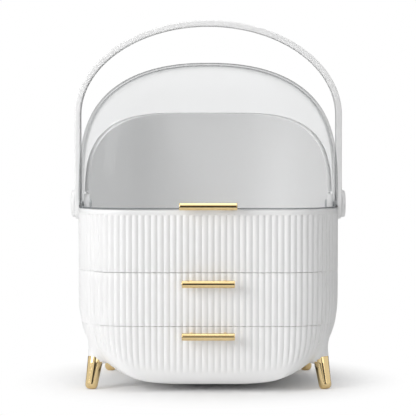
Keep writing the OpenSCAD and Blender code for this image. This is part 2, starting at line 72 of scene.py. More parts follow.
EAR_OUT, EAR_T, EAR_HALF, EAR_LOW = HALF_W - WALL - 0.3, 6.0, 11, 166
EAR_R, EAR_POCKET_R, EAR_POCKET_DEPTH = 12.5, 14, 8
HOOD_SINK, LUG_R, LUG_T = 14, 8.4, 3
PULL_D, PULL_GAP, POST_R, POST_IN = 7.7, 6.0, 2.6, 10.0
COVER_PULL_L, DRAWER_PULL_L = 60.0, 55.0
COVER_PULL_Z, UPPER_PULL_Z, LOWER_PULL_Z = HINGE_Z + 2, UPPER_TOP - 11.2, LOWER_TOP - 9.7
UPPER_TRAY_HALF, LOWER_TRAY_HALF, TRAY_REAR, TRAY_WALL = 108.2, 87.25, 56.0, 2.2
LOWER_BAY_Z, RAIL_H, TRAY_LIFT, TRAY_DROP, TRAY_SCREW_IN = 28, 8, 0.3, 4, 6
TIP_LEN, TIP_TOP, TIP_FOOT, SPLAY = 34.0, 8.25, 6.75, 8.7
FEET = {
    "front_left": (-122.8, -72.0), "front_right": (122.8, -72.0),
    "rear_left": (-110.2, 74.0), "rear_right": (110.2, 74.0),
}
SCREW_HEAD_R, SCREW_HEAD_H, SCREW_R = 3.0, 2.0, 1.5
CASE_SCREW_L, TRAY_SCREW_L, FRONT_PLATE = 12, 8.2, 3.5
STUD_R, STUD_HALF, STUD_PLAY = 2.5, 12, 0.05

FLAT_F = HALF_W - R_FRONT
ARC_F = R_FRONT * math.pi / 2
SIDE = 2 * HALF_D - R_FRONT - R_REAR
ARC_R = R_REAR * math.pi / 2
GIRTH = FLAT_F + ARC_F + SIDE + ARC_R + HALF_W - R_REAR
PITCH = GIRTH / round(GIRTH / 6.6)
SPLIT_S = 19 * PITCH
REED_STEPS, REED_ROUNDNESS = 10, 1.7
TIP_JOINT = TIP_LEN - TIP_FOOT


# Outlines

def plan(s, inset=0.0):
    """Points of the body's plan at distance s along it from the front centre."""
    w = (np.asarray(s, float) + GIRTH) % (2 * GIRTH) - GIRTH
    a, side = np.abs(w), np.where(w < 0, -1.0, 1.0)
    q = np.clip((a - FLAT_F) / R_FRONT, 0, math.pi / 2)
    t = np.clip((a - FLAT_F - ARC_F - SIDE) / R_REAR, 0, math.pi / 2)
    past = np.maximum(0, a - FLAT_F - ARC_F - SIDE - ARC_R)
    x = np.minimum(a, FLAT_F) + R_FRONT * np.sin(q) - R_REAR * (1 - np.cos(t)) - past
    y = -HALF_D + R_FRONT * (1 - np.cos(q)) + np.clip(a - FLAT_F - ARC_F, 0, SIDE) + R_REAR * np.sin(t)
    nx = np.where(t > 0, np.cos(t), np.sin(q))
    ny = np.where(t > 0, np.sin(t), -np.cos(q))
    return side * (x - inset * nx), y - inset * ny


def round_off(u, power, second=None):
    return np.maximum(0, 1 - np.minimum(1, np.abs(u)) ** power) ** (1 / (second or power))


def belly_half(z):
    top = GROUND + BELLY_RISE
    return HALF_W * round_off(np.maximum(0, top - z) / BELLY_RISE, BELLY_POWER)


def fillet_drop(z):
    u = np.clip(BELLY_FILLET - (z - GROUND), 0, BELLY_FILLET)
    return BELLY_FILLET - np.sqrt(BELLY_FILLET ** 2 - u ** 2)


def belly(x, y, z):
    """Draws a plan point in to the belly's width at height z."""
    pull = (np.abs(x) / HALF_W) ** SQUEEZE * ((HALF_W / belly_half(z)) ** SQUEEZE - 1)
    reach = HALF_D - fillet_drop(z)
    return x / (1 + pull) ** (1 / SQUEEZE), np.clip(y, -reach, reach)


def belly_outline(x):
    """Height of the belly's front outline at distance x from the middle."""
    return GROUND + BELLY_RISE * (1 - round_off(x / HALF_W, BELLY_POWER))


def smoothstep(v):
    v = np.clip(v, 0, 1)
    return v * v * (3 - 2 * v)


# Meshes

def quads(rows, cols, closed, start=0):
    """Faces between neighbouring rows; closed joins the last column to the first."""
    index = np.arange(rows * cols).reshape(rows, cols) + start
    if closed:
        index = np.hstack([index, index[:, :1]])
    faces = np.stack([index[:-1, :-1], index[:-1, 1:], index[1:, 1:], index[1:, :-1]], -1)
    return faces.reshape(-1, 4).tolist()


def joined(*shapes):
    """Several (points, faces) shapes as one."""
    points, faces, start = [], [], 0
    for p, f in shapes:
        points.append(np.asarray(p, float).reshape(-1, 3))
        faces += [[i + start for i in face] for face in f]
        start += len(points[-1])
    return np.vstack(points), faces


def stack(rows, caps=True):
    """Solid through equal closed rings of points, from the first ring to the last."""
    rows = np.asarray(rows, float)
    n, m = rows.shape[:2]
    faces = quads(n, m, True)
    if caps:
        faces += [list(range(m)), list(range((n - 1) * m, n * m))]
    return rows.reshape(-1, 3), faces


def piece(name, shape, body=None, finish=None, replaces=(), sharp=32, weld=2e-6, attributes=None):
    """One object from (points in mm, faces), welded, with its faces turned outwards."""
    points, faces = shape
    mesh = bpy.data.meshes.new(name)
    mesh.from_pydata((np.asarray(points) * MM).tolist(), [], faces)
    for label, values in (attributes or {}).items():
        kind = "FLOAT_VECTOR" if np.ndim(values) == 2 else "FLOAT"
        layer = mesh.attributes.new(label, kind, "POINT")
        layer.data.foreach_set("vector" if kind == "FLOAT_VECTOR" else "value", np.ravel(values))
    work = bmesh.new()
    work.from_mesh(mesh)
    bmesh.ops.remove_doubles(work, verts=work.verts, dist=weld)
    bmesh.ops.dissolve_degenerate(work, edges=work.edges, dist=1e-7)
    bmesh.ops.recalc_face_normals(work, faces=work.faces)
    work.to_mesh(mesh)
    work.free()
    thing = bpy.data.objects.new(name, mesh)
    bpy.context.scene.collection.objects.link(thing)
    if finish:
        mesh.materials.append(finish)
    soften(mesh, sharp)
    if body:
        settle(thing, body, replaces)
    return thing


def soften(mesh, sharp):
    mesh.shade_smooth()
    mesh.set_sharp_from_angle(angle=math.radians(sharp))


def settle(thing, body, replaces):
    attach(thing, body)
    if replaces:
        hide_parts(*replaces)


def bake(thing, sharp=32):
    """Turns a piece's modifiers into its plain mesh."""
    graph = bpy.context.evaluated_depsgraph_get()
    made = bpy.data.meshes.new_from_object(
        thing.evaluated_get(graph), preserve_all_data_layers=True, depsgraph=graph)
    thing.modifiers.clear()
    old, name = thing.data, thing.name
    thing.data = made
    bpy.data.meshes.remove(old)
    made.name = name
    soften(made, sharp)


def cut(thing, tool, operation="DIFFERENCE"):
    """Cuts a piece with another, joins it to it, or keeps what they share, and drops the tool."""
    change = thing.modifiers.new("cut", "BOOLEAN")
    change.operation, change.solver, change.object = operation, "EXACT", tool
    bake(thing)
    bpy.data.objects.remove(tool)


def lathe(profile, base, along, steps=48, caps=True):
    """Solid turned round a line: profile holds (distance along it, radius)."""
    base, along = np.asarray(base, float), np.asarray(along, float)
    along = along / np.linalg.norm(along)
    across = np.cross(along, [0, 0, 1] if abs(along[2]) < 0.9 else [1, 0, 0])
    across /= np.linalg.norm(across)
    other = np.cross(along, across)
    turn = np.linspace(0, 2 * math.pi, steps, endpoint=False)
    ring = np.outer(np.cos(turn), across) + np.outer(np.sin(turn), other)
    return stack([base + along * d + ring * max(r, 1e-4) for d, r in profile], caps)


def rounded(points, radius, steps=4):
    """Profile with each inner corner replaced by an arc of about the radius."""
    done = [points[0]]
    for before, here, after in zip(points, points[1:], points[2:]):
        before, here, after = (np.array(v, float) for v in (before, here, after))
        a, b = before - here, after - here
        reach = min(radius, np.linalg.norm(a) / 2, np.linalg.norm(b) / 2)
        if reach < 1e-6:
            done.append(tuple(here))
            continue
        start, end = here + a / np.linalg.norm(a) * reach, here + b / np.linalg.norm(b) * reach
        for i in range(steps + 1):
            t = i / steps
            done.append(tuple((1 - t) ** 2 * start + 2 * t * (1 - t) * here + t * t * end))
    return done + [points[-1]]


def box_ring(x, y, z, r, steps=5):
    """Closed ring of a rounded rectangle at height z."""
    points = []
    corners = ((x[1] - r, y[0] + r, -90), (x[1] - r, y[1] - r, 0),
               (x[0] + r, y[1] - r, 90), (x[0] + r, y[0] + r, 180))
    for cx, cy, start in corners:
        for i in range(steps + 1):
            q = math.radians(start + 90 * i / steps)
            points.append((cx + r * math.cos(q), cy + r * math.sin(q), z))
    return np.array(points)


def softened(low, high, edge):
    """Inset and place of each ring of a prism whose two ends have softened edges."""
    return ((edge, low), (edge * 0.3, low + edge * 0.3), (0, low + edge),
            (0, high - edge), (edge * 0.3, high - edge * 0.3), (edge, high))


def block(x, y, z, r, edge):
    """Moulded block with rounded corners and softened edges."""
    rows = []
    for inset, height in softened(z[0], z[1], edge):
        across, along = (x[0] + inset, x[1] - inset), (y[0] + inset, y[1] - inset)
        rows.append(box_ring(across, along, height, max(r - inset, 0.1)))
    return stack(rows)


# Nodes

def add(tree, kind, given=None):
    """Adds a node. Keys that start with a dot are its own settings, and the others are its inputs."""
    made = tree.nodes.new(kind)
    for key, value in (given or {}).items():
        if isinstance(key, str) and key.startswith("."):
            setattr(made, key[1:], value)
        elif isinstance(value, bpy.types.NodeSocket):
            tree.links.new(value, made.inputs[key])
        else:
            made.inputs[key].default_value = value
    return made


def hex_colour(code):
    parts = [int(code[i:i + 2], 16) / 255 for i in (1, 3, 5)]
    return tuple(v / 12.92 if v <= 0.04045 else ((v + 0.055) / 1.055) ** 2.4 for v in parts) + (1.0,)


def new_material(name):
    made = bpy.data.materials.new(name)
    made.use_nodes = True
    made.node_tree.nodes.clear()
    return made, made.node_tree


def moulded(name, light, dark, rough, grain_mm, bump_mm, ior):
    """Injection-moulded plastic: an even colour with a faint cloud, and the fine grain of an eroded mould."""
    made, tree = new_material(name)
    spot = add(tree, "ShaderNodeTexCoord").outputs["Object"]
    cloud = add(tree, "ShaderNodeTexNoise", {"Vector": spot, "Scale": 14.0, "Detail": 2.0})
    colour = add(tree, "ShaderNodeMix", {
        ".data_type": "RGBA", 0: cloud.outputs["Fac"], 6: hex_colour(light), 7: hex_colour(dark)})
    grain = add(tree, "ShaderNodeTexNoise", {
        "Vector": spot, "Scale": 1 / (grain_mm * MM), "Detail": 3.0, "Roughness": 0.6})
    gloss = add(tree, "ShaderNodeMapRange", {
        "Value": grain.outputs["Fac"], "To Min": rough - 0.05, "To Max": rough + 0.05})
    relief = add(tree, "ShaderNodeBump", {
        "Height": grain.outputs["Fac"], "Strength": 0.2, "Distance": bump_mm * MM})
    skin = add(tree, "ShaderNodeBsdfPrincipled", {
        "Base Color": colour.outputs[2], "Roughness": gloss.outputs[0], "Normal": relief.outputs[0],
        "IOR": ior})
    add(tree, "ShaderNodeOutputMaterial", {"Surface": skin.outputs[0]})
    return made


# Satin ABS: pure white, softly shining, with a mould grain too fine to see from a distance
white_abs = moulded("abs_satin_white", "#F7F7F7", "#F3F3F3", 0.36, 0.5, 0.004, 1.53)
# Matt polypropylene: a touch greyer than the casings, with a waxy, duller surface
tray_pp = moulded("polypropylene_matt_white", "#EFEFEE", "#E9E9E8", 0.5, 0.6, 0.02, 1.49)


def clear_plastic():
    """Moulded acrylic: nearly clear face-on, greyer at the edges, where the eye looks along the wall, with a
    painted shadow along its cut lower edge.
    """
    made, tree = new_material("acrylic_clear_polished")
    spot = add(tree, "ShaderNodeTexCoord").outputs["Object"]
    facing = add(tree, "ShaderNodeLayerWeight", {"Blend": 0.5})
    grazing = add(tree, "ShaderNodeMath", {".operation": "POWER", 0: facing.outputs["Facing"], 1: 11.0})
    height = add(tree, "ShaderNodeSeparateXYZ", {0: spot})
    # The cut lower edge, just over the bin's rim, gets a grey line of painted shadow that stands in for the
    # shade of the gap between cover and rim
    gap_shadow = add(tree, "ShaderNodeMapRange", {
        "Value": height.outputs["Z"], "From Min": (RIM_Z + 2.2) * MM, "From Max": (RIM_Z + 1.2) * MM})
    # The grazing grey and the painted gap shadow darken the cover together
    grazing_and_gap_shadow = add(tree, "ShaderNodeMath", {".operation": "MAXIMUM", 0: grazing.outputs[0], 1: gap_shadow.outputs[0]})
    density = add(tree, "ShaderNodeMapRange", {"Value": grazing_and_gap_shadow.outputs[0], "To Min": 0.09, "To Max": 0.85})
    wave = add(tree, "ShaderNodeTexNoise", {"Vector": spot, "Scale": 22.0, "Detail": 1.0})
    gloss = add(tree, "ShaderNodeMapRange", {"Value": wave.outputs["Fac"], "To Min": 0.02, "To Max": 0.06})
    ripple = add(tree, "ShaderNodeBump", {
        "Height": wave.outputs["Fac"], "Strength": 0.1, "Distance": 0.2 * MM})
    cloud = add(tree, "ShaderNodeMix", {
        ".data_type": "RGBA", 0: wave.outputs["Fac"], 6: hex_colour("#CFD2D4"), 7: hex_colour("#C6CACC")})
    tint = add(tree, "ShaderNodeMix", {
        ".data_type": "RGBA", 0: grazing_and_gap_shadow.outputs[0], 6: cloud.outputs[2], 7: hex_colour("#75797C")})
    skin = add(tree, "ShaderNodeBsdfPrincipled", {
        "Base Color": tint.outputs[2], "Roughness": gloss.outputs[0], "Normal": ripple.outputs[0],
        "IOR": 1.49, "Alpha": density.outputs[0]})
    add(tree, "ShaderNodeOutputMaterial", {"Surface": skin.outputs[0]})
    return made


def plated(name, light, dark, rough, streak_mm, bump_mm):
    """Plated metal: a mirror colour broken only by the finest polishing marks."""
    made, tree = new_material(name)
    spot = add(tree, "ShaderNodeTexCoord").outputs["Object"]
    marks = add(tree, "ShaderNodeTexNoise", {"Vector": spot, "Scale": 1 / (streak_mm * MM), "Detail": 2.0})
    cloud = add(tree, "ShaderNodeTexNoise", {"Vector": spot, "Scale": 60.0, "Detail": 1.0})
    colour = add(tree, "ShaderNodeMix", {
        ".data_type": "RGBA", 0: cloud.outputs["Fac"], 6: hex_colour(light), 7: hex_colour(dark)})
    gloss = add(tree, "ShaderNodeMapRange", {
        "Value": marks.outputs["Fac"], "To Min": rough * 0.7, "To Max": rough * 1.3})
    relief = add(tree, "ShaderNodeBump", {
        "Height": marks.outputs["Fac"], "Strength": 0.15, "Distance": bump_mm * MM})
    skin = add(tree, "ShaderNodeBsdfPrincipled", {
        "Base Color": colour.outputs[2], "Roughness": gloss.outputs[0], "Normal": relief.outputs[0],
        "Metallic": 1.0})
    add(tree, "ShaderNodeOutputMaterial", {"Surface": skin.outputs[0]})
    return made


clear_acrylic = clear_plastic()
# Gold-plated zinc: pale champagne gold, polished, with sharp reflections
pale_gold = plated("gold_plate_polished", "#EAD19E", "#E4C994", 0.08, 0.5, 0.003)
# Zinc-plated steel: cool grey and slightly dull
zinc_steel = plated("zinc_plated_steel", "#C4C6C8", "#B6B9BC", 0.34, 0.3, 0.01)


def geometry_tree(name, sockets):
    """Empty geometry tree with named inputs of the given kinds."""
    tree = bpy.data.node_groups.new(name, "GeometryNodeTree")
    tree.interface.new_socket("Geometry", in_out="INPUT", socket_type="NodeSocketGeometry")
    for label, kind, value in sockets:
        made = tree.interface.new_socket(label, in_out="INPUT", socket_type="NodeSocket" + kind)
        if value is not None:
            made.default_value = value
    tree.interface.new_socket("Geometry", in_out="OUTPUT", socket_type="NodeSocketGeometry")
    return tree, tree.nodes.new("NodeGroupInput").outputs


def grow(thing, tree, values, sharp=32):
    """Runs a geometry tree on a piece with the given inputs, and keeps the plain mesh."""
    change = thing.modifiers.new(tree.name, "NODES")
    change.node_group = tree
    names = {s.name: s.identifier for s in tree.interface.items_tree if s.in_out == "INPUT"}
    for label, value in values.items():
        change[names[label]] = value
    bake(thing, sharp)


def reeding_tree():
    """Presses the grooves between the reeds into a skin that carries their girth and depth."""
    tree, given = geometry_tree("reeding", [
        ("Pitch", "Float", PITCH), ("Roundness", "Float", REED_ROUNDNESS), ("Finish", "Material", None)])
    girth = add(tree, "GeometryNodeInputNamedAttribute", {".data_type": "FLOAT", "Name": "girth"})
    depth = add(tree, "GeometryNodeInputNamedAttribute", {".data_type": "FLOAT_VECTOR", "Name": "groove"})
    count = add(tree, "ShaderNodeMath", {".operation": "DIVIDE", 0: girth.outputs[0], 1: given["Pitch"]})
    share = add(tree, "ShaderNodeMath", {".operation": "FRACT", 0: count.outputs[0]})
    side = add(tree, "ShaderNodeMath", {".operation": "MULTIPLY_ADD", 0: share.outputs[0], 1: 2.0, 2: -1.0})
    off = add(tree, "ShaderNodeMath", {".operation": "ABSOLUTE", 0: side.outputs[0]})
    press = add(tree, "ShaderNodeMath", {".operation": "POWER", 0: off.outputs[0], 1: given["Roundness"]})
    move = add(tree, "ShaderNodeVectorMath", {
        ".operation": "SCALE", 0: depth.outputs[0], "Scale": press.outputs[0]})
    placed = add(tree, "GeometryNodeSetPosition", {"Geometry": given["Geometry"], "Offset": move.outputs[0]})
    real = add(tree, "GeometryNodeRealizeInstances", {"Geometry": placed.outputs[0]})
    dressed = add(tree, "GeometryNodeSetMaterial", {"Geometry": real.outputs[0], "Material": given["Finish"]})
    add(tree, "NodeGroupOutput", {"Geometry": dressed.outputs[0]})
    return tree


def screw_tree():
    """Puts a screw on every point, turned to the point's own direction."""
    tree, given = geometry_tree("screws", [
        ("Screw", "Object", None), ("Finish", "Material", None)])
    aim = add(tree, "GeometryNodeInputNamedAttribute", {".data_type": "FLOAT_VECTOR", "Name": "aim"})
    turn = add(tree, "FunctionNodeAlignRotationToVector", {".axis": "Z", "Vector": aim.outputs[0]})
    source = add(tree, "GeometryNodeObjectInfo", {"Object": given["Screw"]})
    dots = add(tree, "GeometryNodeMeshToPoints", {"Mesh": given["Geometry"]})
    copies = add(tree, "GeometryNodeInstanceOnPoints", {
        "Points": dots.outputs[0], "Instance": source.outputs["Geometry"], "Rotation": turn.outputs[0]})
    real = add(tree, "GeometryNodeRealizeInstances", {"Geometry": copies.outputs[0]})
    dressed = add(tree, "GeometryNodeSetMaterial", {"Geometry": real.outputs[0], "Material": given["Finish"]})
    add(tree, "NodeGroupOutput", {"Geometry": dressed.outputs[0]})
    return tree


reeding = reeding_tree()
screws = screw_tree()


# Reeded casings

def leg_axis(foot):
    """Centre of a leg's rounded foot, and the direction up the leg."""
    x, y = foot
    sx, sy, q = math.copysign(1, x), math.copysign(1, y), math.radians(SPLAY)
    up = Vector((0, 0, 1))
    up.rotate(Euler((sy * q, -sx * q, 0), "XYZ"))
    return np.array((x, y, TIP_FOOT - 0.3)), np.array(up)


LEGS = [leg_axis(foot) for foot in FEET.values()]
SOCKET_R, SOCKET_FLARE, SOCKET_LEN = 8.4, 2.4, 30.0
SOCKET_BLEND = 6.5


def socket_radius(d):
    return SOCKET_R + SOCKET_FLARE * np.clip(d / SOCKET_LEN, 0, 1) ** 1.4


def socket_distance(points):
    """Distance from the nearest leg socket's surface, taking each socket as endless."""
    nearest = np.full(points.shape[:-1], 1e3)
    for base, up in LEGS:
        along = (points - base) @ up
        away = np.linalg.norm(points - base - along[..., None] * up, axis=-1)
        nearest = np.minimum(nearest, away - socket_radius(along - TIP_LEN + TIP_FOOT))
    return nearest


def soft_union(first, second):
    """Distance from two surfaces joined by a soft fillet."""
    near = np.maximum(SOCKET_BLEND - np.abs(first - second), 0) / SOCKET_BLEND
    return np.minimum(first, second) - near ** 2 * SOCKET_BLEND / 4


def grid_normals(rows):
    """Outward normals of rows of points that run counter-clockwise, from below upwards."""
    across, upward = np.gradient(rows, axis=1), np.gradient(rows, axis=0)
    normals = np.cross(across, upward)
    return normals / np.maximum(np.linalg.norm(normals, axis=-1, keepdims=True), 1e-9)


def fillet_sockets(rows):
    """Draws a casing's skin out to meet the leg sockets in a soft fillet."""
    normals, push = grid_normals(rows), np.zeros(rows.shape[:2])
    for _ in range(14):
        moved = rows + normals * push[..., None]
        push = np.clip(push - 0.7 * soft_union(push, socket_distance(moved)), 0, SOCKET_BLEND * 0.8)
    return rows + normals * push[..., None]


class Skin:
    """Rows of points round a casing, each with its girth and the push of a full groove."""

    def __init__(self, first, last, open_y=None, side=1):
        reeds = int(round((last - first) / PITCH))
        self.s = np.linspace(first, last, reeds * REED_STEPS + 1)
        self.open_y, self.side = open_y, side
        self.rows, self.grooves = [], []

    def hold(self, y):
        if self.open_y is None:
            return y
        return np.maximum(self.open_y, y) if self.side > 0 else np.minimum(self.open_y, y)

    def outer(self, z, inset=0.0, depth=None, bellied=False):
        x, y = plan(self.s, inset)
        gx, gy = plan(self.s, max(inset, REED_DEPTH))
        if bellied:
            (x, y), (gx, gy) = belly(x, y, z), belly(gx, gy, z)
        if depth is None:
            depth = 1.0
            if bellied and z <= LOWER_TOP:
                near = socket_distance(np.stack([x, y, np.full_like(x, z)], 1))
                smooth = (1 - smoothstep((near - 3) / 12)) * smoothstep((LOWER_TOP - 2 - z) / 10)
                depth = smoothstep((z - belly_outline(x) - 10) / 14) * (1 - smooth)
        y, gy = self.hold(y), self.hold(gy)
        flat = np.full_like(x, z)
        self.rows.append(np.stack([x, y, flat], 1))
        self.grooves.append(np.stack([(gx - x) * depth, (gy - y) * depth, 0 * x], 1))

    def inner(self, z, inset, kx=1.0, ky=1.0):
        if self.open_y is None:
            s = self.s
        else:
            half = np.linspace(0, GIRTH, 4000)
            s0 = np.interp(self.open_y, plan(half, inset)[1] * ky, half)
            s = np.linspace(s0, 2 * GIRTH - s0, len(self.s))
        x, y = plan(s, inset)
        self.rows.append(np.stack([x * kx, y * ky, np.full_like(x, z)], 1))
        self.grooves.append(np.zeros((len(x), 3)))

    def shape(self, filleted=0):
        n, m = len(self.rows), len(self.s)
        closed = self.open_y is None
        rows, grooves = np.array(self.rows), np.array(self.grooves)
        if filleted:
            drawn = fillet_sockets(rows[:filleted])
            drawn[..., 1] = self.hold(drawn[..., 1])
            rows[:filleted] = drawn
        girth = np.tile(self.s, (n, 1))
        if closed:
            rows, grooves, girth, m = rows[:, :-1], grooves[:, :-1], girth[:, :-1], m - 1
        faces = quads(n, m, closed)
        faces += [list(range(m)), list(range((n - 1) * m, n * m))]
        if not closed:
            left = [i * m for i in range(n)]
            right = [i * m + m - 1 for i in range(n)]
            faces.append(left + right[::-1])
        return (rows.reshape(-1, 3), faces), {"girth": girth.ravel(), "groove": grooves.reshape(-1, 3) * MM}


def reeded(name, skin, extras, body, replaces, cuts=(), filleted=0):
    """A reeded casing or front with its plain mouldings, cut where the source is cut."""
    shape, layers = skin.shape(filleted)
    thing = piece(name, shape, attributes=layers)
    grow(thing, reeding, {"Pitch": PITCH, "Roundness": REED_ROUNDNESS, "Finish": white_abs})
    for tool in cuts:
        cut(thing, piece(name + "_cut", tool))
    if extras:
        more = piece(name + "_mouldings", joined(*extras), finish=white_abs)
        with bpy.context.temp_override(active_object=thing, selected_editable_objects=[thing, more]):
            bpy.ops.object.join()
        soften(thing.data, 32)
    for label in ("girth", "groove"):
        if label in thing.data.attributes:
            thing.data.attributes.remove(thing.data.attributes[label])
    settle(thing, body, replaces)


split_y = float(plan(SPLIT_S, REED_DEPTH)[1])
front_back_y = split_y - SEAM
EDGE = [(0.55, 0.0), (0.2, 0.12), (0.05, 0.3), (0.0, 0.6)]
SEAM_EDGE = [(1.1, 0.0), (0.5, 0.12), (0.15, 0.3), (0.0, 0.6)]
SEAM_SHOWN = 0.2
upper_floor_z = LOWER_TOP + WALL
bin_floor_z = UPPER_TOP + WALL


def ring_post(inset, angle):
    """Place of a post at a distance in from the round rear corner."""
    r = R_REAR - inset
    q = math.radians(angle)
    return HALF_W - R_REAR + r * math.cos(q), HALF_D - R_REAR + r * math.sin(q)


TIER_SIDE_IN, BIN_SIDE_IN, SIDE_POST_Y = 22.5, 15.5, 20
TIER_RING_IN, BIN_RING_IN, HOOD_RING_IN = 15.3, 13.9, 13
TIER_POSTS = [(HALF_W - TIER_SIDE_IN, SIDE_POST_Y), ring_post(TIER_RING_IN, 53.4)]
BIN_POSTS = [(HALF_W - BIN_SIDE_IN, -SIDE_POST_Y), ring_post(BIN_RING_IN, 62)]
HOOD_POSTS = [ring_post(HOOD_RING_IN, angle) for angle in (25, 76.5)]


def posts(places, z0, z1, r=5.0):
    """Screw posts, a little wider at the foot, with a lead-in round the screw."""
    tall = z1 - z0
    profile = [(-1, r + 0.6), (0, r + 0.5), (1.5, r), (tall - 0.6, r), (tall, r - 0.6),
               (tall, 1.9), (tall - 1, 1.6), (tall - 1, 0)]
    return [lathe(profile, (m * x, y, z0), (0, 0, 1), 32) for x, y in places for m in (-1, 1)]


def rails(half, z0):
    """The pair of rails that a tray runs between."""
    made = []
    for m in (-1, 1):
        x = sorted((m * (half + SEAM), m * (half + SEAM + 3)))
        made.append(block(x, (split_y + 1, TRAY_REAR), (z0 - 1, z0 + RAIL_H), 1.2, 0.6))
    return made


def bay_scale(low):
    """Shares to which a step of the drawer bay is drawn in, across and from front to back."""
    kx = float((belly_half(low - WALL) - WALL) / (HALF_W - WALL))
    ky = float((HALF_D - fillet_drop(low - WALL) - WALL) / (HALF_D - WALL))
    return kx, ky


# Lower casing

total = 2 * GIRTH
skin = Skin(SPLIT_S, total - SPLIT_S, split_y)
rise = [1 - math.cos(math.pi / 2 * i / 30) for i in range(31)]
for share in [0.0006] + rise[1:-1]:
    z = GROUND + (LOWER_TOP - 0.6 - GROUND) * share
    skin.outer(z, bellied=True)
for inset, drop in reversed(EDGE):
    skin.outer(LOWER_TOP - drop, inset, bellied=True)
belly_rows, belly_count = np.array(skin.rows), len(skin.rows)
belly_normals = grid_normals(belly_rows)
for low, high in BAY_STEPS:
    kx, ky = bay_scale(low)
    skin.inner(high, WALL, kx, ky)
    skin.inner(low + 1.2, WALL, kx, ky)
    skin.inner(low + 0.35, WALL + 0.35, kx, ky)
    skin.inner(low, WALL + 1.2, kx, ky)

bay = []
for low, high in BAY_STEPS:
    kx, ky = bay_scale(low)
    x, y = plan(np.linspace(-GIRTH, GIRTH, 160, endpoint=False), WALL)
    bay.append(stack([np.stack([x * kx, y * ky, np.full_like(x, z)], 1) for z in (low, high + 1)]))


def fillet_to_belly(points, base, up):
    """Swells a socket's side to meet the belly in the same soft fillet."""
    along = (points - base) @ up
    out = points - base - along[:, None] * up
    out /= np.maximum(np.linalg.norm(out, axis=1, keepdims=True), 1e-6)
    close = np.linalg.norm(belly_rows - (base + up * 40), axis=-1) < 55
    skin_points, skin_normals = belly_rows[close], belly_normals[close]
    nearest = np.array([np.argmin(((skin_points - p) ** 2).sum(1)) for p in points])
    height = ((points - skin_points[nearest]) * skin_normals[nearest]).sum(1)
    lean = (out * skin_normals[nearest]).sum(1)
    push = np.zeros(len(points))
    for _ in range(14):
        push = np.clip(push - 0.7 * soft_union(height + lean * push, push), 0, SOCKET_BLEND * 0.4)
    push *= smoothstep((along - TIP_LEN + TIP_FOOT - 0.5) / 6)
    return points + out * push[:, None]


sockets = []
for base, up in LEGS:
    profile = [(0, 0), (0, 7.9), (0.3, 8.25), (0.8, SOCKET_R)]
    profile += [(d, float(socket_radius(d))) for d in np.linspace(1.6, SOCKET_LEN, 26)] + [(SOCKET_LEN, 0)]
    points, faces = lathe([(d + TIP_JOINT, r) for d, r in profile], base, up, 64)
    sleeve = piece("sleeve", (fillet_to_belly(points, base, up), faces))
    for level in bay:
        cut(sleeve, piece("bay", level))
    sockets.append(([tuple(v.co / MM) for v in sleeve.data.vertices],
                    [list(f.vertices) for f in sleeve.data.polygons]))
    bpy.data.objects.remove(sleeve)

reeded("lower_belly", skin,
       sockets + rails(LOWER_TRAY_HALF, LOWER_BAY_Z) + posts(TIER_POSTS, BAY_STEPS[0][0], LOWER_TOP),
       "body", ["lower_casing"], filleted=belly_count)

# Upper casing

skin = Skin(SPLIT_S, total - SPLIT_S, split_y)
UPPER_ROWS = (72, 76, 80, 84, 88, 93, 98, 103, 108, 116)
upper_wall = WALL + REED_DEPTH
upper_shrink = float((belly_half(upper_floor_z) - upper_wall) / (HALF_W - upper_wall))
for inset, drop in EDGE:
    skin.outer(LOWER_TOP + drop, inset, bellied=True)
for z in UPPER_ROWS:
    skin.outer(z, bellied=True)
for inset, drop in reversed(SEAM_EDGE):
    skin.outer(UPPER_TOP - drop, inset)
for z, more in ((UPPER_TOP, 0), (upper_floor_z + 1.2, 0), (upper_floor_z + 0.35, 0.35), (upper_floor_z, 1.2)):
    skin.inner(z, upper_wall + more, upper_shrink)
reeded("upper_tier", skin,
       rails(UPPER_TRAY_HALF, upper_floor_z) + posts(BIN_POSTS, upper_floor_z, UPPER_TOP),
       "body", ["upper_casing"])

# Top bin

skin = Skin(-GIRTH, GIRTH)
for inset, drop in SEAM_EDGE:
    skin.outer(UPPER_TOP + drop, inset)
for z, depth in ((140, 1), (160, 1), (175, 1), (183.2, 1), (184.2, 0.9), (184.8, 0.45), (185.1, 0)):
    skin.outer(z, 0, depth)
for inset, z in ((0, 187), (0, 189.2), (0.1, 189.6), (0.35, 189.88), (0.8, 190),
                 (2.2, 190), (2.65, 189.88), (2.9, 189.6)):
    skin.outer(z, inset, 0)
for z, inset in ((189.2, WALL), (160, WALL), (bin_floor_z + 2, WALL),
                 (bin_floor_z + 0.6, WALL + 0.6), (bin_floor_z, WALL + 2)):
    skin.inner(z, inset)


def hinge_ear(x0, x1, edge=0.6):
    """An upright plate with a round top, in which the pivot pin sits."""
    rows = []
    for inset, x in softened(x0, x1, edge):
        r = EAR_HALF - inset
        arc = [(x, r * math.cos(q), HINGE_Z + r * math.sin(q)) for q in np.linspace(0, math.pi, 33)]
        rows.append([(x, r, EAR_LOW + inset)] + arc + [(x, -r, EAR_LOW + inset)])
    return stack(rows)


ears = []
for m in (-1, 1):
    x = sorted((m * (EAR_OUT - EAR_T), m * EAR_OUT))
    ears.append(hinge_ear(x[0], x[1]))
    # The foot that ties the ear to the wall is 1 mm inside it, so that no two faces coincide
    x = sorted((m * (EAR_OUT - EAR_T + 1), m * (EAR_OUT + 1.3)))
    ears.append(block(x, (1 - EAR_HALF, EAR_HALF - 1), (EAR_LOW + 1, 177.7), 0.8, 0.6))
pocket = [(0, EAR_POCKET_R), (EAR_POCKET_DEPTH, EAR_POCKET_R)]
pockets = [lathe(pocket, (m * EAR_OUT, 0, HINGE_Z), (m, 0, 0), 96) for m in (-1, 1)]
foot_z = RIM_Z - HOOD_SINK
reeded("open_bin", skin, ears + posts(HOOD_POSTS, bin_floor_z, foot_z), "body", ["top_bin"], pockets)

# Drawer fronts

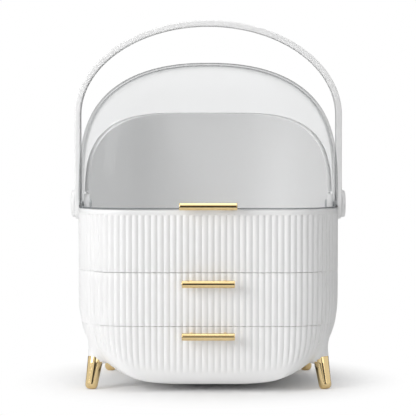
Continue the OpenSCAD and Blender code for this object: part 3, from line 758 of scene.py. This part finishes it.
skin = Skin(-SPLIT_S, SPLIT_S, front_back_y, -1)
top = LOWER_TOP - SEAM_SHOWN
for share in [0.0032] + rise[1:-1]:
    skin.outer(GROUND + (top - 0.6 - GROUND) * share, bellied=True)
for inset, drop in reversed(EDGE):
    skin.outer(top - drop, inset, bellied=True)
reeded("lower_front", skin, [], "lower_drawer", ["lower_drawer_front"], filleted=len(skin.rows))

skin = Skin(-SPLIT_S, SPLIT_S, front_back_y, -1)
low, top = LOWER_TOP + SEAM_SHOWN, UPPER_TOP - SEAM
for inset, drop in EDGE:
    skin.outer(low + drop, inset, bellied=True)
for z in UPPER_ROWS:
    skin.outer(z, bellied=True)
for inset, drop in reversed(SEAM_EDGE):
    skin.outer(top - drop, inset)
reeded("upper_front", skin, [], "upper_drawer", ["upper_drawer_front"])


# Trays

def tray(name, half, z0, z1, body, node):
    """Drawer tray with rounded upright corners, a coved floor and a rolled rim."""
    x, y, wall = (-half, half), (front_back_y, TRAY_REAR), TRAY_WALL
    rows = []
    for inset, z in ((1.5, z0), (0.45, z0 + 0.45), (0, z0 + 1.5), (0, z1 - 0.6), (0.2, z1 - 0.2), (0.6, z1),
                     (wall - 0.6, z1), (wall - 0.2, z1 - 0.2), (wall, z1 - 0.6), (wall, z0 + wall + 3),
                     (wall + 0.9, z0 + wall + 0.9), (wall + 3, z0 + wall)):
        across, along = (x[0] + inset, x[1] - inset), (y[0] + inset, y[1] - inset)
        rows.append(box_ring(across, along, z, max(0.4, 4 - inset), 6))
    piece(name, stack(rows), body, tray_pp, [node])


upper_tray_z = (upper_floor_z + TRAY_LIFT, UPPER_TOP - TRAY_DROP)
lower_tray_z = (LOWER_BAY_Z + TRAY_LIFT, LOWER_TOP - TRAY_DROP)
tray("upper_tray_shell", UPPER_TRAY_HALF, *upper_tray_z, "upper_drawer", "upper_drawer_tray")
tray("lower_tray_shell", LOWER_TRAY_HALF, *lower_tray_z, "lower_drawer", "lower_drawer_tray")


# Cover and hood

def dome_shell(inset, wall, low, rows=44, cols=236):
    """Closed shell of the dome, from height low over the hinge axis to the crest."""
    stations = np.linspace(-GIRTH, GIRTH, cols, endpoint=False)

    def surface(inner):
        top = DOME_H - inner
        rising = [1 - (1 - i / rows) ** 1.33 for i in range(rows + 1)]
        heights = [low] + [top * math.sin(math.pi / 2 * share) for share in rising]
        made = []
        for h in heights:
            u = max(0.0, h / top)
            kx, ky = float(round_off(u, DOME_SIDE, DOME_CROWN)), float(round_off(u, DOME_FRONT))
            x, y = plan(stations, inner)
            made.append(np.stack([x * kx, y * ky, np.full_like(x, HINGE_Z + h)], 1))
        return made

    outer, inner = surface(inset), surface(inset + wall)
    rings = outer[::-1] + inner
    return stack(rings, caps=False)


def lap_line(up, forward, steps=48):
    """Side-view line where the cover ends and the hood shows."""
    points = []
    for i in range(steps + 1):
        u = 1 - (i / steps) ** 2
        y = (HALF_D - 9) * (1 - u)
        rise = (HOOD_H - HOOD_LAP / 2) * float(round_off(u, LAP_POWER))
        points.append((LAP_START + y - forward, HINGE_Z + up + rise))
    return points


def hood_line(drop=0.0):
    """The hood's own edge from the hinge upwards, or that line moved down and back by a distance."""
    line = lap_line(HOOD_LAP / 2 - drop, HOOD_LAP / 2 - drop)
    return [p for p in line if p[1] > HINGE_Z + EAR_R + 1]


def side_prism(points):
    return stack([[(x, y, z) for y, z in points] for x in (-160, 160)])


far, high = HALF_D + 20, HINGE_Z + DOME_H + 10
cover_region = [(-far, RIM_Z + 0.6), (LAP_START, RIM_Z + 0.6)] + lap_line(-HOOD_LAP / 2, 0) + [
    (far, HINGE_Z + HOOD_H - HOOD_LAP), (far, high), (-far, high)]
cover = piece("clear_dome", dome_shell(0, COVER_WALL, -6), finish=clear_acrylic)
cut(cover, piece("region", side_prism(cover_region)), "INTERSECT")
for m in (-1, 1):
    profile = [(0, PIN_BORE_R), (0, EAR_R - 0.3), (0.3, EAR_R), (1.7, EAR_R), (2, EAR_R - 0.3),
               (2, PIN_BORE_R), (0, PIN_BORE_R)]
    disc = lathe(profile, (m * (HALF_W - COVER_WALL - 0.4), 0, HINGE_Z), (m, 0, 0), 64, caps=False)
    cut(cover, piece("ear", disc), "UNION")
soften(cover.data, 40)
settle(cover, "cover", ["clear_cover"])

BEAD_H = 3.6
hood_top = HINGE_Z + HOOD_H
hood_region = [(EAR_R + 1, foot_z), (EAR_R + 1, HINGE_Z + EAR_R), (LAP_START - HOOD_LAP / 2, HINGE_Z + EAR_R)]
hood_region += hood_line() + [(far, hood_top), (far, foot_z)]
hood_inset = COVER_WALL + HOOD_GAP
hood = piece("hood_shell", dome_shell(hood_inset, HOOD_WALL, foot_z - HINGE_Z - 2), finish=white_abs)
cut(hood, piece("region", side_prism(hood_region)), "INTERSECT")
bead = piece("bead", dome_shell(hood_inset + 0.2, HOOD_WALL + 2.0, foot_z - HINGE_Z - 2), finish=white_abs)
bead_region = hood_line() + [(far, hood_top), (far, hood_top - BEAD_H)] + hood_line(BEAD_H)[::-1]
cut(bead, piece("region", side_prism(bead_region)), "INTERSECT")
lug = rounded([(0, 1.6), (0, LUG_R), (LUG_T, LUG_R), (LUG_T, 1.6), (0, 1.6)], 0.4)
lugs = [lathe(lug, (m * x, y, foot_z), (0, 0, 1), 40, caps=False) for x, y in HOOD_POSTS for m in (-1, 1)]
more = piece("lugs", joined(*lugs), finish=white_abs)
with bpy.context.temp_override(active_object=hood, selected_editable_objects=[hood, bead, more]):
    bpy.ops.object.join()
soften(hood.data, 35)
settle(hood, "body", ["rear_hood"])

# Handle

handle_out = HANDLE_IN + HANDLE_T
arch_base = HINGE_Z + HANDLE_H - ARCH_H


def strip_ring(inside, outside, half):
    """Rounded cross-section of the handle between an inner and an outer point of its arch."""
    ring, r = [], HANDLE_EDGE
    corners = ((HANDLE_T - r, half - r, 0), (r, half - r, 90),
               (r, -half + r, 180), (HANDLE_T - r, -half + r, 270))
    for cu, cv, start in corners:
        for i in range(7):
            q = math.radians(start + 90 * i / 6)
            u, v = (cu + r * math.cos(q)) / HANDLE_T, cv + r * math.sin(q)
            x = inside[0] + u * (outside[0] - inside[0])
            z = inside[1] + u * (outside[1] - inside[1])
            ring.append((x, v, z))
    return ring


sections, leg_rows = [], 22
for t in np.linspace(0, 1, leg_rows):
    z = HINGE_Z + t * (arch_base - HINGE_Z)
    flare = 1 - smoothstep((z - HINGE_Z) / FLARE_H)
    sections.append(((HANDLE_IN, z), (handle_out, z), HANDLE_W / 2 + HUB_FLARE * float(flare)))
for q in np.linspace(0, math.pi, 90)[1:-1]:
    sections.append(((HANDLE_IN * math.cos(q), arch_base + (ARCH_H - HANDLE_T) * math.sin(q)),
                     (handle_out * math.cos(q), arch_base + ARCH_H * math.sin(q)), HANDLE_W / 2))
sections += [((-i[0], i[1]), (-o[0], o[1]), w) for i, o, w in sections[:leg_rows][::-1]]
hubs = []
for m in (-1, 1):
    bore_z = HANDLE_T - CAP_BORE_DEPTH
    hub = rounded([(0, PIN_BORE_R), (0, HUB_R), (HANDLE_T, HUB_R), (HANDLE_T, CAP_BORE_R)], 1.8)
    hub += [(bore_z, CAP_BORE_R), (bore_z, PIN_BORE_R), (0, PIN_BORE_R)]
    hubs.append(lathe(hub, (m * HANDLE_IN, 0, HINGE_Z), (m, 0, 0), 72, caps=False))
piece("bail_handle", joined(stack([strip_ring(*v) for v in sections]), *hubs),
      "handle", white_abs, ["carry_handle"], sharp=40)
for m, name in ((-1, "hub_cap_left"), (1, "hub_cap_right")):
    profile = [(-2.5, 0), (-2.5, 7.9), (0, 8.0), (0.02, CAP_R - 0.5), (0.4, CAP_R), (CAP_T - 1.6, CAP_R)]
    profile += [(CAP_T - 0.7, CAP_R - 0.4), (CAP_T - 0.25, CAP_R - 1.1), (CAP_T - 0.05, CAP_R - 2.0)]
    profile += [(CAP_T - 0.3, CAP_R - 2.6), (CAP_T - 0.35, CAP_R - 3.2), (CAP_T - 0.12, CAP_R - 3.7)]
    profile += [(CAP_T, CAP_R - 6), (CAP_T, 0)]
    piece(name.replace("hub", "bail"), lathe(profile, (m * handle_out, 0, HINGE_Z), (m, 0, 0), 72),
          "handle", white_abs, [name], sharp=50)
for m, name in ((-1, "pivot_pin_left"), (1, "pivot_pin_right")):
    profile = [(-2.0, 0), (-2.0, 1.5), (-1.85, 3.0), (-1.3, 4.4), (-0.7, 5.0), (0, 5.0), (0.02, 3.0)]
    profile += [(15.3, 3.0), (15.7, 2.6), (15.7, 0)]
    piece(name.replace("pin", "rivet"), lathe(profile, (m * (EAR_OUT - EAR_T), 0, HINGE_Z), (m, 0, 0), 48),
          "body", zinc_steel, [name], sharp=40)


# Pulls

def pull(name, length, z, body, node):
    """Bar pull: a polished round bar with softened ends, on two flared posts."""
    y = -HALF_D - PULL_GAP - PULL_D / 2
    r = PULL_D / 2
    ends = [(0, 0), (0, r - 0.7), (0.1, r - 0.35), (0.35, r - 0.1), (0.7, r), (0.9, r), (2, r)]
    profile = ends + [(length - d, v) for d, v in ends[::-1]]
    parts = [lathe(profile, (-length / 2, y, z), (1, 0, 0), 64)]
    leg = [(0, 0), (0, POST_R + 0.8), (0.8, POST_R + 0.75), (1.3, POST_R + 0.2), (2.2, POST_R)]
    leg += [(PULL_GAP - 1, POST_R), (PULL_GAP, POST_R + 0.3)]
    leg += [(PULL_GAP + 1.5, POST_R + 0.3), (PULL_GAP + 1.5, 0)]
    for m in (-1, 1):
        parts.append(lathe(leg, (m * (length / 2 - POST_IN), -HALF_D, z), (0, -1, 0), 40))
    piece(name, joined(*parts), body, pale_gold, [node], sharp=40)


pull("cover_bar", COVER_PULL_L, COVER_PULL_Z, "cover", "cover_pull")
pull("upper_bar", DRAWER_PULL_L, UPPER_PULL_Z, "upper_drawer", "upper_drawer_pull")
pull("lower_bar", DRAWER_PULL_L, LOWER_PULL_Z, "lower_drawer", "lower_drawer_pull")

# Leg tips

for place, (base, up) in zip(FEET, LEGS):
    bore_r = STUD_R + STUD_PLAY
    profile = [(-TIP_FOOT, 0)]
    for q in np.linspace(0.12, math.pi / 2, 14)[:-1]:
        profile.append((-TIP_FOOT * math.cos(q) ** 0.75, TIP_FOOT * math.sin(q) ** 0.62))
    profile.append((0.5, TIP_FOOT + 0.03))
    profile += [(TIP_JOINT * t, TIP_FOOT + (TIP_TOP - TIP_FOOT) * t) for t in (0.25, 0.5, 0.75)]
    profile += [(TIP_JOINT - 0.5, TIP_TOP - 0.03), (TIP_JOINT - 0.12, TIP_TOP - 0.15)]
    profile += [(TIP_JOINT, TIP_TOP - 0.5), (TIP_JOINT, bore_r)]
    profile += [(TIP_JOINT - STUD_HALF, bore_r), (TIP_JOINT - STUD_HALF, 0)]
    points, faces = lathe(profile, base, up, 72)
    points[:, 2] = np.maximum(points[:, 2], 0)
    piece("ferrule_" + place, (points, faces),
          "body", pale_gold, ["leg_tip_" + place], sharp=40)


# Screws and studs

def screw_shape(length):
    """Pan-head screw with a cross recess; its local Z axis points out of the head."""
    head_r, head_h, r, sides = SCREW_HEAD_R, SCREW_HEAD_H, SCREW_R, 48
    turn = np.linspace(0, 2 * math.pi, sides, endpoint=False)

    def ring(radius, z):
        return np.stack([radius * np.cos(turn), radius * np.sin(turn), np.full(sides, z)], 1)

    def cross(size, z):
        c, s = np.abs(np.cos(turn)), np.abs(np.sin(turn))
        arm = np.minimum(size / np.maximum(c, s), 0.42 / np.maximum(np.minimum(c, s), 0.12))
        arm = np.minimum(arm, size)
        return np.stack([arm * np.cos(turn), arm * np.sin(turn), np.full(sides, z)], 1)

    rows = [ring(0.2, -length), ring(r - 0.3, -length + 0.4)]
    for k in range(int((length - 1.5) / 1.0)):
        rows += [ring(r - 0.28, -length + 0.9 + k), ring(r, -length + 1.4 + k)]
    rows += [ring(r - 0.05, 0), ring(head_r - 0.1, 0), ring(head_r, 0.25), ring(head_r - 0.05, head_h * 0.45)]
    rows += [ring(head_r * 0.86, head_h * 0.8), ring(head_r * 0.66, head_h)]
    rows += [cross(1.65, head_h), cross(1.1, head_h - 1.1)]
    return stack(rows)


def screw_set(name, places, length, body, node):
    """Equal screws as one piece; places holds (point, direction out of the head)."""
    sample = piece("screw_sample", screw_shape(length), finish=zinc_steel, sharp=40)
    points = np.array([p for p, _ in places], float)
    dots = bpy.data.meshes.new(name)
    dots.from_pydata((points * MM).tolist(), [], [])
    layer = dots.attributes.new("aim", "FLOAT_VECTOR", "POINT")
    layer.data.foreach_set("vector", np.ravel([d for _, d in places]).astype(float))
    thing = bpy.data.objects.new(name, dots)
    bpy.context.scene.collection.objects.link(thing)
    grow(thing, screws, {"Screw": sample, "Finish": zinc_steel}, 40)
    bpy.data.objects.remove(sample)
    settle(thing, body, [node])


UP, BACK = (0, 0, 1), (0, 1, 0)
for name, places, z, node in (
        ("tier_fasteners", TIER_POSTS, upper_floor_z, "tier_screws"),
        ("bin_fasteners", BIN_POSTS, bin_floor_z, "bin_screws"),
        ("hood_fasteners", HOOD_POSTS, foot_z + LUG_T, "hood_screws")):
    screw_set(name, [((m * x, y, z), UP) for x, y in places for m in (-1, 1)], CASE_SCREW_L, "body", node)
for name, length, z, wall, body in (
        ("cover_pull", COVER_PULL_L, COVER_PULL_Z, COVER_WALL, "cover"),
        ("upper_pull", DRAWER_PULL_L, UPPER_PULL_Z, FRONT_PLATE, "upper_drawer"),
        ("lower_pull", DRAWER_PULL_L, LOWER_PULL_Z, FRONT_PLATE, "lower_drawer")):
    places = [((m * (length / 2 - POST_IN), -HALF_D + wall, z), BACK) for m in (-1, 1)]
    screw_set(name + "_fasteners", places, PULL_GAP - 1 + wall, body, name + "_screws")
for name, half, (z0, z1), body, node in (
        ("upper_tray_fasteners", UPPER_TRAY_HALF, upper_tray_z, "upper_drawer", "upper_front_screws"),
        ("lower_tray_fasteners", LOWER_TRAY_HALF, lower_tray_z, "lower_drawer", "lower_front_screws")):
    places = [((m * (half - TRAY_SCREW_IN), front_back_y + TRAY_WALL, (z0 + z1) / 2), BACK) for m in (-1, 1)]
    screw_set(name, places, TRAY_SCREW_L, body, node)

studs = []
for base, up in LEGS:
    profile = [(-STUD_HALF, 0), (-STUD_HALF, 2.1), (-11.6, STUD_R)]
    for k in range(22):
        profile += [(-11 + k, STUD_R), (-10.5 + k, 2.2)]
    profile += [(11.6, STUD_R), (STUD_HALF, 2.1), (STUD_HALF, 0)]
    studs.append(lathe([(TIP_JOINT + d, r) for d, r in profile], base, up, 32))
piece("threaded_studs", joined(*studs), "body", zinc_steel, ["leg_studs"], sharp=50)


# Stage, light and camera

SHADOW_NEAR, SHADOW_FAR, SWEEP_END = 0.09, 0.22, 0.5


def seen_directly(tree, rays):
    """1 where the camera looks at a surface, also through the clear cover."""
    return add(tree, "ShaderNodeMath", {
        ".operation": "ADD", 0: rays.outputs["Is Camera Ray"], 1: rays.outputs["Is Transmission Ray"],
        ".use_clamp": True})


def floor_material():
    """Matt white sweep: it takes the object's shadow near the middle and runs out to plain white."""
    made, tree = new_material("studio_floor")
    spot = add(tree, "ShaderNodeTexCoord").outputs["Object"]
    away = add(tree, "ShaderNodeVectorMath", {".operation": "LENGTH", 0: spot})
    fade = add(tree, "ShaderNodeMapRange", {
        "Value": away.outputs["Value"], "From Min": SHADOW_NEAR, "From Max": SHADOW_FAR,
        ".interpolation_type": "SMOOTHSTEP"})
    matt = add(tree, "ShaderNodeBsdfDiffuse", {"Color": hex_colour("#FDFDFD")})
    plain = add(tree, "ShaderNodeEmission", {"Color": (1, 1, 1, 1), "Strength": 1.0})
    rays = add(tree, "ShaderNodeLightPath")
    seen = seen_directly(tree, rays)
    share = add(tree, "ShaderNodeMath", {".operation": "MULTIPLY", 0: fade.outputs[0], 1: seen.outputs[0]})
    both = add(tree, "ShaderNodeMixShader", {0: share.outputs[0], 1: matt.outputs[0], 2: plain.outputs[0]})
    # Polished metal sees the sweep as dark beyond the lit middle
    beyond = add(tree, "ShaderNodeMath", {
        ".operation": "GREATER_THAN", 0: away.outputs["Value"], 1: SWEEP_END})
    unlit = add(tree, "ShaderNodeMath", {
        ".operation": "MULTIPLY", 0: beyond.outputs[0], 1: rays.outputs["Is Glossy Ray"]})
    dim = add(tree, "ShaderNodeBsdfDiffuse", {"Color": hex_colour("#383838")})
    whole = add(tree, "ShaderNodeMixShader", {0: unlit.outputs[0], 1: both.outputs[0], 2: dim.outputs[0]})
    add(tree, "ShaderNodeOutputMaterial", {"Surface": whole.outputs[0]})
    return made


REACH, BACK_H = 6, 5
floor_mesh = bpy.data.meshes.new("floor")
floor_mesh.from_pydata([
    (-REACH, -REACH, 0), (REACH, -REACH, 0), (REACH, REACH, 0), (-REACH, REACH, 0),
    (REACH, REACH, BACK_H), (-REACH, REACH, BACK_H)], [], [(0, 1, 2, 3), (3, 2, 4, 5)])
floor_mesh.materials.append(floor_material())
floor = bpy.data.objects.new("floor", floor_mesh)
bpy.context.scene.collection.objects.link(floor)
floor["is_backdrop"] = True


def light_world(tree):
    """Soft even light; the camera sees plain white, and polished metal a pale room with one dark opening."""
    tree.nodes.clear()
    rays = add(tree, "ShaderNodeLightPath")
    soft = add(tree, "ShaderNodeBackground", {"Color": (1, 1, 1, 1), "Strength": 0.27})
    white = add(tree, "ShaderNodeBackground", {"Color": (1, 1, 1, 1), "Strength": 1.0})
    direction = add(tree, "ShaderNodeTexCoord").outputs["Generated"]
    split = add(tree, "ShaderNodeSeparateXYZ", {0: direction})
    # The opening is behind the camera, and round bars show it as their dark line
    level = add(tree, "ShaderNodeMath", {".operation": "COMPARE", 0: split.outputs["Z"], 1: 0.16, 2: 0.26})
    width = add(tree, "ShaderNodeMath", {".operation": "COMPARE", 0: split.outputs["X"], 1: 0.12, 2: 0.2})
    front = add(tree, "ShaderNodeMath", {".operation": "LESS_THAN", 0: split.outputs["Y"], 1: 0.0})
    both = add(tree, "ShaderNodeMath", {".operation": "MULTIPLY", 0: level.outputs[0], 1: width.outputs[0]})
    opening = add(tree, "ShaderNodeMath", {".operation": "MULTIPLY", 0: both.outputs[0], 1: front.outputs[0]})
    room = add(tree, "ShaderNodeMix", {
        ".data_type": "RGBA", 0: opening.outputs[0], 6: (0.9, 0.9, 0.9, 1), 7: (0.03, 0.03, 0.03, 1)})
    mirrored = add(tree, "ShaderNodeBackground", {"Color": room.outputs[2], "Strength": 1.0})
    first = add(tree, "ShaderNodeMixShader", {
        0: rays.outputs["Is Glossy Ray"], 1: soft.outputs[0], 2: mirrored.outputs[0]})
    seen = seen_directly(tree, rays)
    last = add(tree, "ShaderNodeMixShader", {0: seen.outputs[0], 1: first.outputs[0], 2: white.outputs[0]})
    add(tree, "ShaderNodeOutputWorld", {"Surface": last.outputs[0]})


world = bpy.data.worlds.new("studio")
bpy.context.scene.world = world
world.use_nodes = True
light_world(world.node_tree)


def lamp(name, place, size, power, aim=(0, 0, 0.17)):
    """Soft box at a place in metres, turned to the middle of the body."""
    data = bpy.data.lights.new(name, "AREA")
    data.shape, data.size, data.size_y, data.energy = "RECTANGLE", size[0], size[1], power
    thing = bpy.data.objects.new(name, data)
    thing.location = place
    thing.rotation_euler = (Vector(aim) - Vector(place)).to_track_quat("-Z", "Y").to_euler()
    bpy.context.scene.collection.objects.link(thing)


lamp("key_softbox", (-1.3, -1.03, 0.75), (0.8, 1.0), 15)
lamp("front_fill", (0.6, -1.7, 0.6), (0.8, 0.8), 2.5)
lamp("top_softbox", (0.0, 0.0, 1.6), (1.2, 1.2), 10)

# The photo's viewpoint: nearly level, straight in front, through a long lens
CAMERA_PLACE, CAMERA_DOWN, CAMERA_LENS = (-0.0003, -2.0, 0.283), 2.74, 159.2
camera = bpy.data.objects.new("camera", bpy.data.cameras.new("camera"))
bpy.context.scene.collection.objects.link(camera)
camera.data.sensor_width = 36
camera.data.lens = CAMERA_LENS
camera.location = CAMERA_PLACE
camera.rotation_euler = (math.radians(90 - CAMERA_DOWN), 0, 0)
bpy.context.scene.camera = camera
bpy.context.scene.view_settings.view_transform = "Standard"

low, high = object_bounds()
